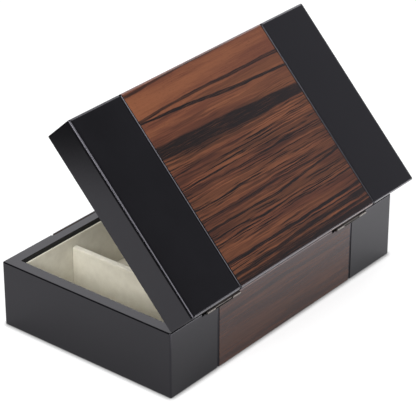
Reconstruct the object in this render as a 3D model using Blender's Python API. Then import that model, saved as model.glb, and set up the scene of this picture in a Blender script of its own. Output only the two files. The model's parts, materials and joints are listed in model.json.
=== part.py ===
"""Jewellery organiser box: a low, black-lacquered box with a veneered band round its middle.

The lid stands part open on two small butt hinges. +X is the right end seen from the front,
-Y is the front, +Y the hinge side and +Z is up. The origin is the middle of the underside,
on the surface that the box stands on. Lengths are in metres.
"""

import math

import bmesh
import bpy
from mathutils import Vector

# Outside of the box, measured with the lid closed
BOX_WIDTH = 0.300
BOX_DEPTH = 0.180
BASE_HEIGHT = 0.060
LID_HEIGHT = 0.031
RIM_GAP = 0.0003
EDGE_ROUND = 0.0022
RIM_ROUND = 0.0010

# The lid as it stands, and how far its hinges let it go
OPEN_ANGLE = math.radians(46.7)

# Boards
WALL = 0.011
LID_BOARD = 0.008
BOTTOM_BOARD = 0.004
BOTTOM_REBATE = 0.005
FELT = 0.0012
FELT_INSET = 0.001
FELT_STANDING_PROUD = 0.0005

# Veneered band, and the V groove along each of its edges
BAND_FROM_END = 0.0595
VENEER = 0.0015
GROOVE_WIDTH = 0.0024
GROOVE_DEPTH = 0.0012

# Suede-covered linings and dividers
LINING = 0.0015
LINING_BELOW_RIM = 0.003
FLOOR_LINING = 0.002
LID_LINING = 0.002
DIVIDER = 0.006
DIVIDER_BELOW_RIM = 0.013
SIDE_COMPARTMENT = 0.058

# Butt hinges, let into both rims
HINGE_FROM_END = 0.063
HINGE_LENGTH = 0.042
HINGE_BEHIND_WALL = 0.0017
END_KNUCKLE = 0.010
KNUCKLE_RADIUS = 0.0022
KNUCKLE_GAP = 0.0003
PIN_RADIUS = 0.001
PIN_CLEARANCE = 0.00008
LEAF = 0.0012
LEAF_REACH = 0.010
RUN_OUT_LENGTH = 0.003
RUN_OUT_DEPTH = 0.0016
RUN_OUT_INSET = 0.0012

# Countersunk slotted screws
SCREW_SPACING = 0.024
SCREW_LENGTH = 0.008
SCREW_HEAD_RADIUS = 0.0017
SCREW_SHANK_RADIUS = 0.0009
SCREW_TIP = 0.0016
SCREW_SLOT_WIDTH = 0.0005
SCREW_SLOT_DEPTH = 0.0004

# Fits between pieces that touch, the least distance told apart, and the length a cutter runs past
FIT = 0.0003
SAME_PLACE = 0.000001
OVERRUN = 0.002

# How finely round forms are divided
EDGE_SEGMENTS = 4
RIM_SEGMENTS = 2
BARREL_SEGMENTS = 24
SCREW_SEGMENTS = 16
SMOOTH_BELOW = math.radians(40)

X = Vector((1, 0, 0))
Y = Vector((0, 1, 0))
Z = Vector((0, 0, 1))

# Places that follow from the sizes above
HALF_WIDTH = BOX_WIDTH / 2
HALF_DEPTH = BOX_DEPTH / 2
WALL_FOOT = FELT_STANDING_PROUD
LID_RIM = BASE_HEIGHT + RIM_GAP
LID_TOP = LID_RIM + LID_HEIGHT
BAND_HALF = HALF_WIDTH - BAND_FROM_END
HALF_GROOVE = GROOVE_WIDTH / 2
INSIDE_X = HALF_WIDTH - WALL
INSIDE_Y = HALF_DEPTH - WALL
BOARD_LOW = FELT + FIT
BOARD_HIGH = BOARD_LOW + BOTTOM_BOARD
FLOOR_LOW = BOARD_HIGH + FIT
FLOOR_HIGH = FLOOR_LOW + FLOOR_LINING
LINED_X = INSIDE_X - FIT - LINING
LINED_Y = INSIDE_Y - FIT - LINING
DIVIDER_X = LINED_X - SIDE_COMPARTMENT - DIVIDER / 2
HINGE_X = HALF_WIDTH - HINGE_FROM_END
HINGE_AXIS = Vector((0, HALF_DEPTH + HINGE_BEHIND_WALL, BASE_HEIGHT + RIM_GAP / 2))
LEAF_INNER_EDGE = HINGE_AXIS.y - LEAF_REACH
LEAF_OUTER_EDGE = HINGE_AXIS.y - KNUCKLE_RADIUS - FIT
SCREW_Y = (LEAF_INNER_EDGE + LEAF_OUTER_EDGE) / 2

# Each side of the ring of walls: its name, outward direction, run, distance out and half length
SIDES = (
    ("right", X, Y, HALF_WIDTH, HALF_DEPTH),
    ("left", -X, Y, HALF_WIDTH, HALF_DEPTH),
    ("front", -Y, X, HALF_DEPTH, HALF_WIDTH),
    ("rear", Y, X, HALF_DEPTH, HALF_WIDTH),
)


def clear_scene():
    for item in list(bpy.data.objects):
        bpy.data.objects.remove(item, do_unlink=True)


def make_finish(name, colour, roughness, metallic):
    """A plain finish: linear base colour, roughness and metallic share."""
    finish = bpy.data.materials.new(name)
    finish.use_nodes = True
    shader = finish.node_tree.nodes["Principled BSDF"]
    shader.inputs["Base Color"].default_value = (*colour, 1)
    shader.inputs["Roughness"].default_value = roughness
    shader.inputs["Metallic"].default_value = metallic
    return finish


def make_carrier(name, place):
    """An empty that carries one rigid body of the box."""
    carrier = bpy.data.objects.new(name, None)
    carrier.location = place
    bpy.context.scene.collection.objects.link(carrier)
    return carrier


def add_piece(name, shape, carrier, finish=None, smooth=False):
    """Makes an object of a shape modelled where it lies in the closed box."""
    bmesh.ops.recalc_face_normals(shape, faces=shape.faces)
    bmesh.ops.translate(shape, vec=-carrier.location, verts=shape.verts)
    mesh = bpy.data.meshes.new(name)
    shape.to_mesh(mesh)
    shape.free()
    if smooth:
        mesh.shade_smooth()
        mesh.set_sharp_from_angle(angle=SMOOTH_BELOW)
    if finish:
        mesh.materials.append(finish)
    piece = bpy.data.objects.new(name, mesh)
    piece.parent = carrier
    bpy.context.scene.collection.objects.link(piece)
    return piece


def add_tool(name, shape, carrier):
    """A cutter, which isn't a piece of the box itself."""
    tool = add_piece(name, shape, carrier)
    tool.hide_render = True
    tool.display_type = "WIRE"
    return tool


def cut(piece, *cutters):
    for cutter in cutters:
        modifier = piece.modifiers.new(cutter.name, "BOOLEAN")
        modifier.operation = "DIFFERENCE"
        modifier.object = cutter


def apply_cuts():
    """Applies the cuts while the lid is still closed, where faces that line up do so exactly."""
    graph = bpy.context.evaluated_depsgraph_get()
    cut_pieces = [item for item in bpy.data.objects if item.modifiers]
    meshes = [bpy.data.meshes.new_from_object(piece.evaluated_get(graph)) for piece in cut_pieces]
    for piece, mesh in zip(cut_pieces, meshes):
        piece.modifiers.clear()
        mesh.name = piece.name
        mesh.set_sharp_from_angle(angle=SMOOTH_BELOW)
        piece.data = mesh
    for tool in [item for item in bpy.data.objects if item.hide_render]:
        bpy.data.objects.remove(tool, do_unlink=True)


def block(low, high):
    """A rectangular solid between two opposite corners."""
    low = Vector(low)
    high = Vector(high)
    shape = bmesh.new()
    bmesh.ops.create_cube(shape, size=1)
    bmesh.ops.scale(shape, vec=high - low, verts=shape.verts)
    bmesh.ops.translate(shape, vec=(low + high) / 2, verts=shape.verts)
    return shape


def prism(outline, along, length):
    """A closed outline of points, extruded by a length along a direction."""
    shape = bmesh.new()
    face = shape.faces.new([shape.verts.new(point) for point in outline])
    grown = bmesh.ops.extrude_face_region(shape, geom=[face])["geom"]
    moved = [item for item in grown if isinstance(item, bmesh.types.BMVert)]
    bmesh.ops.translate(shape, vec=along * length, verts=moved)
    return shape


def turned(profile, segments):
    """A profile of (radius, height) points turned about Z, closed where it meets the axis."""
    shape = bmesh.new()
    points = [shape.verts.new((radius, 0, height)) for radius, height in profile]
    line = [shape.edges.new(pair) for pair in zip(points, points[1:])]
    bmesh.ops.spin(
        shape, geom=points + line, cent=(0, 0, 0), axis=Z, angle=math.tau, steps=segments
    )
    bmesh.ops.remove_doubles(shape, verts=shape.verts, dist=SAME_PLACE)
    return shape


def rod_along_x(radius, start, end, segments):
    """A round bar along the hinges' axis."""
    shape = turned(((0, start), (radius, start), (radius, end), (0, end)), segments)
    for vert in shape.verts:
        vert.co = Vector((vert.co.z, vert.co.y, -vert.co.x)) + HINGE_AXIS
    return shape


def upright_edges(shape):
    ends = [(edge, edge.verts[0].co - edge.verts[1].co) for edge in shape.edges]
    return [edge for edge, run in ends if run.xy.length < SAME_PLACE]


def edges_at(shape, level):
    def at_level(edge):
        return all(abs(vert.co.z - level) < SAME_PLACE for vert in edge.verts)

    return [edge for edge in shape.edges if at_level(edge)]


def round_over(shape, edges, radius, segments):
    bmesh.ops.bevel(
        shape, geom=edges, offset=radius, offset_type="OFFSET", segments=segments, profile=0.5, affect="EDGES"
    )


def trim(shape, point, normal):
    """Cuts off what lies beyond a plane, on the side its normal points to, and closes the cut."""
    everything = shape.verts[:] + shape.edges[:] + shape.faces[:]
    found = bmesh.ops.bisect_plane(
        shape,
        geom=everything,
        dist=SAME_PLACE,
        plane_co=point,
        plane_no=normal.normalized(),
        clear_outer=True,
    )
    rim = [item for item in found["geom_cut"] if isinstance(item, bmesh.types.BMEdge)]
    bmesh.ops.edgeloop_fill(shape, edges=rim)


def base_outline():
    """The base as one solid, from which its walls and veneers are trimmed."""
    shape = block((-HALF_WIDTH, -HALF_DEPTH, WALL_FOOT), (HALF_WIDTH, HALF_DEPTH, BASE_HEIGHT))
    round_over(shape, upright_edges(shape), EDGE_ROUND, EDGE_SEGMENTS)
    for level in (WALL_FOOT, BASE_HEIGHT):
        round_over(shape, edges_at(shape, level), RIM_ROUND, RIM_SEGMENTS)
    return shape


def lid_outline():
    """The lid as one solid, from which its board, walls and veneers are trimmed."""
    shape = block((-HALF_WIDTH, -HALF_DEPTH, LID_RIM), (HALF_WIDTH, HALF_DEPTH, LID_TOP))
    crown_edges = upright_edges(shape) + edges_at(shape, LID_TOP)
    round_over(shape, crown_edges, EDGE_ROUND, EDGE_SEGMENTS)
    round_over(shape, edges_at(shape, LID_RIM), RIM_ROUND, RIM_SEGMENTS)
    return shape


def trim_to_wall(shape, outward, along, reach, half_length):
    """Leaves one side of the ring: its inner face, and a mitre at each end."""
    trim(shape, outward * (reach - WALL), -outward)
    for end in (-1, 1):
        corner = outward * reach + along * end * half_length
        kept_side = (outward - along * end).normalized()
        trim(shape, corner + kept_side * FIT / 2, -kept_side)


def trim_to_veneer(shape, outward, reach):
    """Leaves the veneer's own thickness, its ends, and its slope of each groove."""
    trim(shape, outward * (reach - VENEER), -outward)
    for end in (-1, 1):
        side = X * end
        trim(shape, side * (BAND_HALF - FIT / 2), side)
        shoulder = side * (BAND_HALF - HALF_GROOVE) + outward * reach
        trim(shape, shoulder, side * GROOVE_DEPTH + outward * HALF_GROOVE)


def band_cutter(name, carrier, outward, reach, along, start, end):
    """The veneer's seat in a black board, with the board's slope of each groove at its sides."""
    seat = BAND_HALF + FIT / 2
    meeting_depth = GROOVE_DEPTH * (1 - FIT / GROOVE_WIDTH)
    mouth = BAND_HALF + HALF_GROOVE * (1 + OVERRUN / GROOVE_DEPTH)
    half = ((seat, VENEER + FIT), (seat, meeting_depth), (mouth, -OVERRUN))
    profile = [(-across, depth) for across, depth in reversed(half)] + list(half)
    outline = [X * across + outward * (reach - depth) + along * start for across, depth in profile]
    return add_tool(name, prism(outline, along, end - start), carrier)


def add_base_walls(carrier, finish):
    """Four mitred walls, with a rebate under them for the bottom board."""
    rebate_x = INSIDE_X + BOTTOM_REBATE
    rebate_y = INSIDE_Y + BOTTOM_REBATE
    rebate = add_tool(
        "base_rebate_cutter",
        block((-rebate_x, -rebate_y, -OVERRUN), (rebate_x, rebate_y, FLOOR_LOW)),
        carrier,
    )
    walls = {}
    for name, outward, along, reach, half_length in SIDES:
        shape = base_outline()
        trim_to_wall(shape, outward, along, reach, half_length)
        walls[name] = add_piece(f"base_{name}_wall", shape, carrier, finish)
        cut(walls[name], rebate)
    return walls


def add_base_veneers(carrier, finish, walls):
    veneers = {}
    for name, outward, _, reach, _ in SIDES[2:]:
        seat = band_cutter(
            f"base_{name}_band_cutter", carrier, outward, reach, Z, -OVERRUN, BASE_HEIGHT + OVERRUN
        )
        cut(walls[name], seat)
        shape = base_outline()
        trim_to_veneer(shape, outward, reach)
        veneers[name] = add_piece(f"base_{name}_veneer", shape, carrier, finish)
    return veneers


def add_bottom(carrier, board_finish, felt_finish):
    board_x = INSIDE_X + BOTTOM_REBATE - FIT
    board_y = INSIDE_Y + BOTTOM_REBATE - FIT
    board = block((-board_x, -board_y, BOARD_LOW), (board_x, board_y, BOARD_HIGH))
    add_piece("bottom_board", board, carrier, board_finish)
    felt_x = board_x - FELT_INSET
    felt_y = board_y - FELT_INSET
    felt = block((-felt_x, -felt_y, 0), (felt_x, felt_y, FELT))
    add_piece("underside_felt", felt, carrier, felt_finish)


def lined_panel(low, high, rolled_level):
    """A suede-covered panel whose exposed long edges, at one level, are rolled over."""
    shape = block(low, high)
    size = Vector(high) - Vector(low)
    across = min(size.x, size.y)
    long_edges = []
    for edge in edges_at(shape, rolled_level):
        run = edge.verts[0].co - edge.verts[1].co
        if run.length > across + SAME_PLACE:
            long_edges.append(edge)
    round_over(shape, long_edges, across / 3, RIM_SEGMENTS)
    return shape


def add_wall_linings(prefix, low, high, rolled_level, carrier, finish):
    """Panels against the four walls: the end panels run the whole depth, the others between them."""
    outer_x = INSIDE_X - FIT
    outer_y = INSIDE_Y - FIT
    between = LINED_X - FIT
    for name, side in (("right", 1), ("left", -1)):
        near, far = sorted((side * LINED_X, side * outer_x))
        panel = lined_panel((near, -outer_y, low), (far, outer_y, high), rolled_level)
        add_piece(f"{prefix}_{name}_lining", panel, carrier, finish)
    for name, side in (("front", -1), ("rear", 1)):
        near, far = sorted((side * LINED_Y, side * outer_y))
        panel = lined_panel((-between, near, low), (between, far, high), rolled_level)
        add_piece(f"{prefix}_{name}_lining", panel, carrier, finish)


def add_base_lining(carrier, finish):
    floor_x = INSIDE_X - FIT
    floor_y = INSIDE_Y - FIT
    floor = block((-floor_x, -floor_y, FLOOR_LOW), (floor_x, floor_y, FLOOR_HIGH))
    add_piece("base_floor_lining", floor, carrier, finish)
    lining_top = BASE_HEIGHT - LINING_BELOW_RIM
    add_wall_linings("base", FLOOR_HIGH + FIT, lining_top, lining_top, carrier, finish)


def add_dividers(carrier, finish):
    """Two dividers from front to back, and one across between them."""
    low = FLOOR_HIGH + FIT
    high = BASE_HEIGHT - DIVIDER_BELOW_RIM
    half = DIVIDER / 2
    end_y = LINED_Y - FIT
    for name, side in (("right", 1), ("left", -1)):
        centre = side * DIVIDER_X
        panel = lined_panel((centre - half, -end_y, low), (centre + half, end_y, high), high)
        add_piece(f"{name}_divider", panel, carrier, finish)
    end_x = DIVIDER_X - half - FIT
    panel = lined_panel((-end_x, -half, low), (end_x, half, high), high)
    add_piece("cross_divider", panel, carrier, finish)


def add_lid_boards(carrier, finish):
    """The lid's flat board, and the four mitred walls that carry it."""
    shape = lid_outline()
    trim(shape, Z * (LID_TOP - LID_BOARD), -Z)
    boards = {"top": add_piece("lid_top_board", shape, carrier, finish)}
    for name, outward, along, reach, half_length in SIDES:
        shape = lid_outline()
        trim(shape, Z * (LID_TOP - LID_BOARD - FIT), Z)
        trim_to_wall(shape, outward, along, reach, half_length)
        boards[name] = add_piece(f"lid_{name}_wall", shape, carrier, finish)
    return boards


def add_lid_veneers(carrier, finish, boards):
    """The band over the lid: one sheet on top, and one down each long edge."""
    past_front = -HALF_DEPTH - OVERRUN
    past_rear = HALF_DEPTH + OVERRUN
    seat = band_cutter("lid_top_band_cutter", carrier, Z, LID_TOP, Y, past_front, past_rear)
    cut(boards["top"], seat)
    shape = lid_outline()
    trim_to_veneer(shape, Z, LID_TOP)
    veneers = {"top": add_piece("lid_top_veneer", shape, carrier, finish)}
    for name, outward, _, reach, _ in SIDES[2:]:
        seat = band_cutter(
            f"lid_{name}_band_cutter", carrier, outward, reach, Z, LID_RIM - OVERRUN, LID_TOP + OVERRUN
        )
        cut(boards["top"], seat)
        cut(boards[name], seat)
        shape = lid_outline()
        trim_to_veneer(shape, outward, reach)
        trim(shape, Z * (LID_TOP - VENEER - FIT), Z)
        veneers[name] = add_piece(f"lid_{name}_veneer", shape, carrier, finish)
    return veneers


def add_lid_lining(carrier, finish):
    pad_high = LID_TOP - LID_BOARD - FIT
    pad_low = pad_high - LID_LINING
    pad_x = INSIDE_X - FIT
    pad_y = INSIDE_Y - FIT
    pad = block((-pad_x, -pad_y, pad_low), (pad_x, pad_y, pad_high))
    add_piece("lid_top_lining", pad, carrier, finish)
    lining_low = LID_RIM + LINING_BELOW_RIM
    add_wall_linings("lid", lining_low, pad_low - FIT, lining_low, carrier, finish)


def angle_at_level(level):
    """Where the barrel's circle crosses a level, on its side towards the box."""
    rise = level - HINGE_AXIS.z
    return math.atan2(rise, -math.sqrt(KNUCKLE_RADIUS**2 - rise**2))


def leaf_shape(centre, low, high):
    """A flat leaf whose outer edge is rolled into the barrel, as a section along the whole hinge."""
    turns_from = angle_at_level(low)
    turned_by = (angle_at_level(high) - turns_from) % math.tau
    if turned_by < math.pi:
        turned_by -= math.tau
    barrel = [turns_from + turned_by * step / BARREL_SEGMENTS for step in range(BARREL_SEGMENTS + 1)]
    start = HINGE_AXIS + X * (centre - HINGE_LENGTH / 2)
    outline = [(start.x, LEAF_INNER_EDGE, low)]
    for angle in barrel:
        outline.append(start + KNUCKLE_RADIUS * (Y * math.cos(angle) + Z * math.sin(angle)))
    outline.append((start.x, LEAF_INNER_EDGE, high))
    return prism(outline, X, HINGE_LENGTH)


def add_leaf(name, centre, notches, low, high, carrier, finish):
    """One hinge leaf, notched for the other leaf's knuckles and bored for the pin."""
    leaf = add_piece(name, leaf_shape(centre, low, high), carrier, finish, smooth=True)
    reach = KNUCKLE_RADIUS + OVERRUN
    for number, (start, end) in enumerate(notches, 1):
        notch = block(
            (centre + start, LEAF_OUTER_EDGE, HINGE_AXIS.z - reach),
            (centre + end, HINGE_AXIS.y + reach, HINGE_AXIS.z + reach),
        )
        cut(leaf, add_tool(f"{name}_notch_cutter_{number}", notch, carrier))
    half = HINGE_LENGTH / 2 + OVERRUN
    bore = rod_along_x(PIN_RADIUS + PIN_CLEARANCE, centre - half, centre + half, BARREL_SEGMENTS)
    cut(leaf, add_tool(f"{name}_bore_cutter", bore, carrier))
    return leaf


def mortise_cutter(name, centre, rim, side, carrier):
    """The seat of a leaf, stepped where half the barrel lies in the wood too.

    side is -1 for the base, whose rim is cut downwards, and 1 for the lid.
    """
    leaf_edge = LEAF_INNER_EDGE - FIT
    leaf_floor = rim + side * (LEAF + FIT)
    barrel_edge = HINGE_AXIS.y - KNUCKLE_RADIUS - FIT
    barrel_floor = HINGE_AXIS.z + side * (KNUCKLE_RADIUS + FIT)
    past_rear = HALF_DEPTH + OVERRUN
    past_rim = rim - side * OVERRUN
    section = (
        (leaf_edge, past_rim),
        (leaf_edge, leaf_floor),
        (barrel_edge, leaf_floor),
        (barrel_edge, barrel_floor),
        (past_rear, barrel_floor),
        (past_rear, past_rim),
    )
    start = centre - HINGE_LENGTH / 2 - FIT
    outline = [(start, across, height) for across, height in section]
    return add_tool(f"{name}_cutter", prism(outline, X, HINGE_LENGTH + 2 * FIT), carrier)


def run_out_cutter(name, centre, carrier):
    """The router's way out of the base's mortise, a small notch past the barrel's right end."""
    end = centre + HINGE_LENGTH / 2
    shape = block(
        (end, HALF_DEPTH - RUN_OUT_INSET, BASE_HEIGHT - RUN_OUT_DEPTH),
        (end + RUN_OUT_LENGTH, HALF_DEPTH + OVERRUN, BASE_HEIGHT + OVERRUN),
    )
    return add_tool(f"{name}_run_out_cutter", shape, carrier)


def screw_profile(clearance):
    """Half outline of a countersunk screw under its flat head, with room all round for a hole."""
    head = SCREW_HEAD_RADIUS + clearance
    shank = SCREW_SHANK_RADIUS + clearance
    tip = SCREW_LENGTH + clearance
    return ((head, 0), (shank, shank - head), (shank, SCREW_TIP - tip), (0, -tip))


def screw_mesh(finish):
    """The screw that all eight share, with its slot, head at the origin and shank down."""
    shape = turned(((0, 0),) + screw_profile(0), SCREW_SEGMENTS)
    bmesh.ops.recalc_face_normals(shape, faces=shape.faces)
    mesh = bpy.data.meshes.new("hinge_screw")
    shape.to_mesh(mesh)
    shape.free()
    mesh.shade_smooth()
    mesh.set_sharp_from_angle(angle=SMOOTH_BELOW)
    mesh.materials.append(finish)
    return mesh


def slot_mesh():
    """The cutter for a screw's slot, across the head."""
    reach = SCREW_HEAD_RADIUS + OVERRUN
    half = SCREW_SLOT_WIDTH / 2
    shape = block((-reach, -half, -SCREW_SLOT_DEPTH), (reach, half, OVERRUN))
    mesh = bpy.data.meshes.new("screw_slot_cutter")
    shape.to_mesh(mesh)
    shape.free()
    return mesh


def hole_mesh():
    """The cutter for a screw's hole through the leaf and into the wood."""
    profile = screw_profile(FIT)
    mouth = profile[0][0] + OVERRUN
    shape = turned(((0, OVERRUN), (mouth, OVERRUN)) + profile, SCREW_SEGMENTS)
    bmesh.ops.recalc_face_normals(shape, faces=shape.faces)
    mesh = bpy.data.meshes.new("screw_hole_cutter")
    shape.to_mesh(mesh)
    shape.free()
    return mesh


def place_copy(name, mesh, place, turn, carrier, hidden):
    """An object of a shared mesh, at a place in the closed box."""
    copy = bpy.data.objects.new(name, mesh)
    copy.parent = carrier
    copy.location = place - carrier.location
    copy.rotation_euler = turn
    copy.hide_render = hidden
    if hidden:
        copy.display_type = "WIRE"
    bpy.context.scene.collection.objects.link(copy)
    return copy


def add_screws(name, centre, rim, turn, carrier, leaf, wall, meshes):
    """The screws of one leaf, each with its slot, and their holes in the leaf and the wall."""
    screw, slot, hole = meshes
    for number, side in enumerate((-1, 1), 1):
        place = Vector((centre + side * SCREW_SPACING / 2, SCREW_Y, rim))
        fixed = place_copy(f"{name}_screw_{number}", screw, place, turn, carrier, False)
        slot_cutter = place_copy(f"{name}_slot_cutter_{number}", slot, place, turn, carrier, True)
        hole_cutter = place_copy(f"{name}_hole_cutter_{number}", hole, place, turn, carrier, True)
        cut(fixed, slot_cutter)
        cut(leaf, hole_cutter)
        cut(wall, hole_cutter)


def add_hinge(name, centre, carriers, rear_boards, finish, meshes):
    """A butt hinge: two leaves, a pin, their screws, and the mortises that seat them."""
    base, lid = carriers
    half = HINGE_LENGTH / 2
    inner = half - END_KNUCKLE
    past_end = half + OVERRUN
    middle_notch = ((-inner, inner),)
    end_notches = ((-past_end, KNUCKLE_GAP - inner), (inner - KNUCKLE_GAP, past_end))

    base_leaf = add_leaf(
        f"{name}_base_leaf", centre, middle_notch, BASE_HEIGHT - LEAF, BASE_HEIGHT, base, finish
    )
    lid_leaf = add_leaf(
        f"{name}_lid_leaf", centre, end_notches, LID_RIM, LID_RIM + LEAF, lid, finish
    )
    pin = rod_along_x(PIN_RADIUS, centre - half, centre + half, BARREL_SEGMENTS)
    add_piece(f"{name}_pin", pin, base, finish, smooth=True)

    seat = mortise_cutter(f"{name}_base_mortise", centre, BASE_HEIGHT, -1, base)
    run_out = run_out_cutter(name, centre, base)
    for board in rear_boards["base"]:
        cut(board, seat, run_out)
    seat = mortise_cutter(f"{name}_lid_mortise", centre, LID_RIM, 1, lid)
    for board in rear_boards["lid"]:
        cut(board, seat)

    upright = (0, 0, 0)
    upside_down = (math.pi, 0, 0)
    base_wall = rear_boards["base"][0]
    lid_wall = rear_boards["lid"][0]
    add_screws(f"{name}_base", centre, BASE_HEIGHT, upright, base, base_leaf, base_wall, meshes)
    add_screws(f"{name}_lid", centre, LID_RIM, upside_down, lid, lid_leaf, lid_wall, meshes)


def main():
    clear_scene()
    lacquer = make_finish("black_lacquer", (0.012, 0.012, 0.014), 0.25, 0)
    veneer = make_finish("striped_veneer", (0.130, 0.056, 0.032), 0.32, 0)
    board = make_finish("painted_board", (0.020, 0.019, 0.018), 0.6, 0)
    felt = make_finish("black_felt", (0.015, 0.015, 0.016), 0.95, 0)
    suede = make_finish("cream_suede", (0.560, 0.500, 0.385), 0.9, 0)
    plate = make_finish("hinge_plate", (0.560, 0.500, 0.420), 0.3, 1)

    base = make_carrier("base_carrier", (0, 0, 0))
    lid = make_carrier("lid_carrier", HINGE_AXIS)

    base_walls = add_base_walls(base, lacquer)
    base_veneers = add_base_veneers(base, veneer, base_walls)
    add_bottom(base, board, felt)
    add_base_lining(base, suede)
    add_dividers(base, suede)

    lid_boards = add_lid_boards(lid, lacquer)
    lid_veneers = add_lid_veneers(lid, veneer, lid_boards)
    add_lid_lining(lid, suede)

    rear_boards = {
        "base": (base_walls["rear"], base_veneers["rear"]),
        "lid": (lid_boards["rear"], lid_veneers["rear"]),
    }
    meshes = (screw_mesh(plate), slot_mesh(), hole_mesh())
    for name, side in (("right_hinge", 1), ("left_hinge", -1)):
        add_hinge(name, side * HINGE_X, (base, lid), rear_boards, plate, meshes)

    apply_cuts()
    lid.rotation_euler.x = -OPEN_ANGLE


main()
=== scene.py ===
"""Jewellery organiser box, dressed over its packed solids.

A low box in satin black lacquer, with a band of striped ebony veneer round its middle, stands with
its lid part open. The shells, veneers, suede linings and felt are modelled here with the lid
closed, and what belongs to the lid is then swung open about the hinges. +X is the right end seen
from the front, +Y the hinge side and +Z is up.
"""

import json
import math

import bmesh
import bpy
from bpy.props import FloatProperty, FloatVectorProperty, IntProperty, PointerProperty
from mathutils import Matrix, Vector


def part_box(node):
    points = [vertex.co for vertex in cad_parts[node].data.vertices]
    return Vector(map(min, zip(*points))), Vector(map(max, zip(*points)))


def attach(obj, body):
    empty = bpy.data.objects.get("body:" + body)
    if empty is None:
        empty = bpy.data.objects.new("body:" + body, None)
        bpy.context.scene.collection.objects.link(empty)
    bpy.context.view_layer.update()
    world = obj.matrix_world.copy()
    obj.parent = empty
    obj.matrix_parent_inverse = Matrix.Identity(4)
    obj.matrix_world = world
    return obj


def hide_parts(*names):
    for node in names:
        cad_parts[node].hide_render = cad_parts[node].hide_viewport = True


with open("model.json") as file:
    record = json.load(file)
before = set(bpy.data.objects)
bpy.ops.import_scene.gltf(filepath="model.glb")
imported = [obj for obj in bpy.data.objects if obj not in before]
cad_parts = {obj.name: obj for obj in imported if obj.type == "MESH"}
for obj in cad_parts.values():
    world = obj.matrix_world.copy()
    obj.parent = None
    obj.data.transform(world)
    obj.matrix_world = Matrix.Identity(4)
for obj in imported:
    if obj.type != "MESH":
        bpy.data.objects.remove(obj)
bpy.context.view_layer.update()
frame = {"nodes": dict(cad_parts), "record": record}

bl_info = {
    "name": "Jewellery organiser box",
    "version": (1, 0, 0),
    "blender": (4, 5, 0),
    "location": "View3D > Sidebar > Organiser box",
    "description": "Builds a lacquered and veneered jewellery box around its packed solids",
    "category": "Object",
}

X = Vector((1, 0, 0))
Y = Vector((0, 1, 0))
Z = Vector((0, 0, 1))

# In metres: places closer than this are the same place, and cutters stand this far past what they cut
SAME = 0.00001
PAST = 0.004
# How much of a unit direction lies along an axis that it runs along, or is square to, or looks towards
ALONG = 0.9
SQUARE = 0.1
TOWARDS = 0.5
# The bevel profile and segments that hollow an edge out
HOLLOW = 0.13
HOLLOW_SEGMENTS = 5
# How far round its pin a hinge's leaf is rolled, and in how many steps
ROLL_ANGLE = 300
ROLL_STEPS = 20
# How much of its swell the lid's pad gains at each step inwards
PAD_STEPS = (0.5, 0.3, 0.2)

# How far the lid stands open, and the axis that it turns about
STANDS_OPEN = math.radians(46.7)
PIN_LOW, PIN_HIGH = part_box("right_hinge_pin")
HINGE_AXIS = Vector((0, (PIN_LOW.y + PIN_HIGH.y) / 2, (PIN_LOW.z + PIN_HIGH.z) / 2))


def solid_box(node):
    """The lowest and highest corners of a packed solid, with the lid closed."""
    spots = [vertex.co.copy() for vertex in frame["nodes"][node].data.vertices]
    if node in frame["record"]["behaviour"]["bodies"]["lid"]:
        turn = Matrix.Rotation(STANDS_OPEN, 3, "X")
        spots = [HINGE_AXIS + turn @ (spot - HINGE_AXIS) for spot in spots]
    low, high = ([end(spot[axis] for spot in spots) for axis in range(3)] for end in (min, max))
    return Vector(low), Vector(high)


WALL_LOW, WALL_HIGH = solid_box("base_right_wall")
REAR_HIGH = solid_box("base_rear_wall")[1]
LID_LOW = solid_box("lid_right_wall")[0]
LID_BOARD_LOW, LID_BOARD_HIGH = solid_box("lid_top_board")
LEAF_LOW, LEAF_HIGH = solid_box("right_hinge_base_leaf")
FLOOR_LINING_LOW = solid_box("base_floor_lining")[0]
FELT_LOW, FELT_HIGH = solid_box("underside_felt")


def linear(code):
    """An sRGB hex colour as linear red, green and blue."""
    shares = [int(code[place : place + 2], 16) / 255 for place in (1, 3, 5)]
    return [share / 12.92 if share <= 0.04045 else ((share + 0.055) / 1.055) ** 2.4 for share in shares]


def a_length(name, description, default):
    return FloatProperty(
        name=name, description=description, default=default, min=0, unit="LENGTH", precision=5
    )


def a_colour(name, description, code):
    return FloatVectorProperty(
        name=name, description=description, default=linear(code), size=3, min=0, max=1, subtype="COLOR"
    )


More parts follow.
